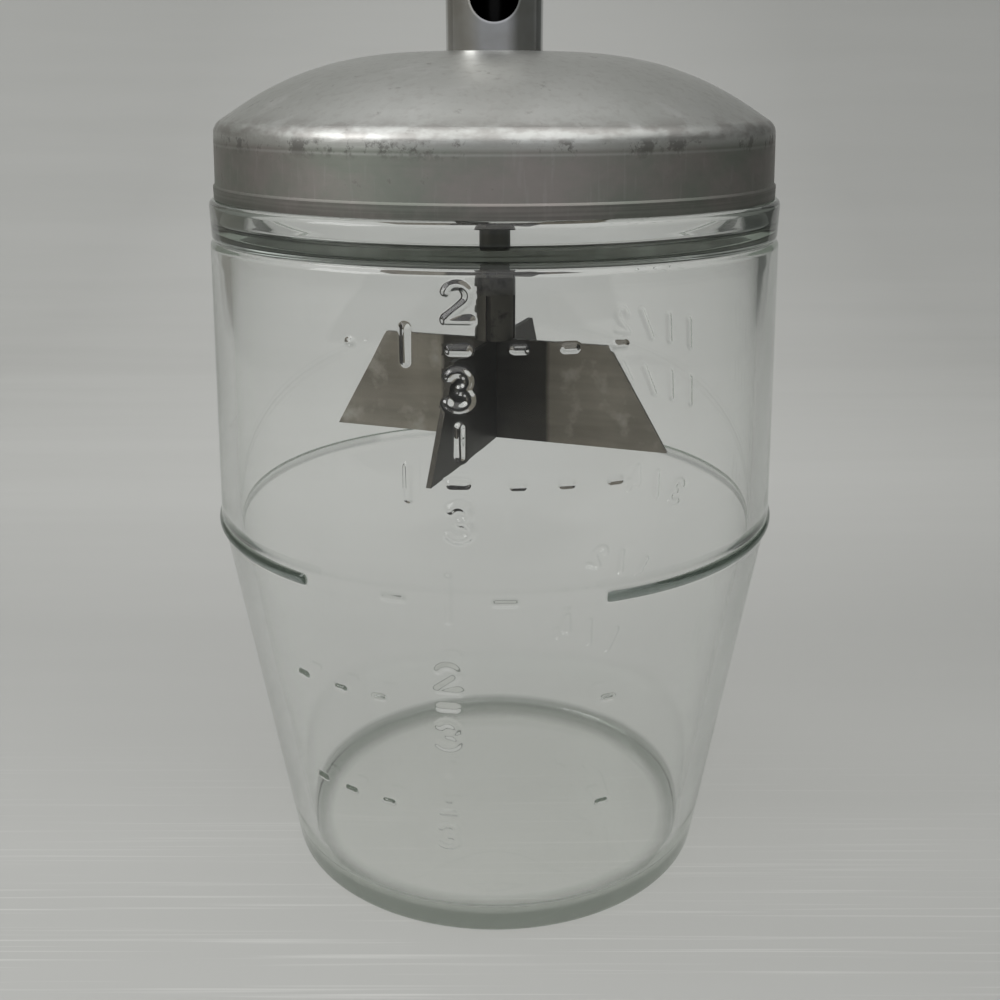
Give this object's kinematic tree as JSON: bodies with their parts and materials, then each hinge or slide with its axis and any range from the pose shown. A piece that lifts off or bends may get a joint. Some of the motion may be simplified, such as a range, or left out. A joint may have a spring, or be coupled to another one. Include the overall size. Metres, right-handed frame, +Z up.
{
  "type": "nut chopper",
  "caption": "Push-down nut chopper: a glass measuring jar, a slip-on domed lid with a guide tube, and a sprung plunger that drives crossed blades.",
  "frame": {"origin": "centre of the jar's base, on the surface that it stands on", "axes": "+Z up along the axis of the jar, the tube and the plunger; the jar's marked side faces -Y"},
  "size_m": [0.0884, 0.088, 0.2549],
  "materials": {
    "clear_glass": "clear pressed glass",
    "spun_aluminium": "satin, lightly scratched",
    "polished_steel": "polished tube",
    "plain_steel": "plain",
    "blade_steel": "dull and stained",
    "brass": "plain",
    "varnished_wood": "stained and varnished"
  },
  "bodies": {
    "jar": {"glass_jar": "clear_glass"},
    "lid": {"lid_shell": "spun_aluminium", "guide_tube": "polished_steel", "backing_washer": "plain_steel", "lower_bushing": "brass", "upper_bushing": "brass", "spring_seat": "plain_steel"},
    "spring_carrier": {"return_spring": "plain_steel", "spring_cup": "polished_steel", "stop_washer": "plain_steel"},
    "plunger": {"plunger_rod": "plain_steel", "stop_clip": "plain_steel", "blade_hub": "plain_steel", "hub_pin": "plain_steel", "wide_blade": "blade_steel", "cross_blade": "blade_steel", "lock_nut": "plain_steel", "knob_insert": "brass", "knob": "varnished_wood"}
  },
  "joints": [
    {"name": "lid_lift", "type": "slide", "parent": "jar", "child": "lid", "axis": [0, 0, 1], "range_m": [0, 0.06]},
    {"name": "plunger_slide", "type": "slide", "parent": "lid", "child": "spring_carrier", "axis": [0, 0, -1], "range_m": [0, 0.0635], "stiffness_N_per_m": 460, "springref_m": -0.006, "deforming": ["return_spring"]},
    {"name": "plunger_spin", "type": "hinge", "parent": "spring_carrier", "child": "plunger", "pos_m": [0, 0, 0], "axis": [0, 0, 1], "continuous": true}
  ]
}
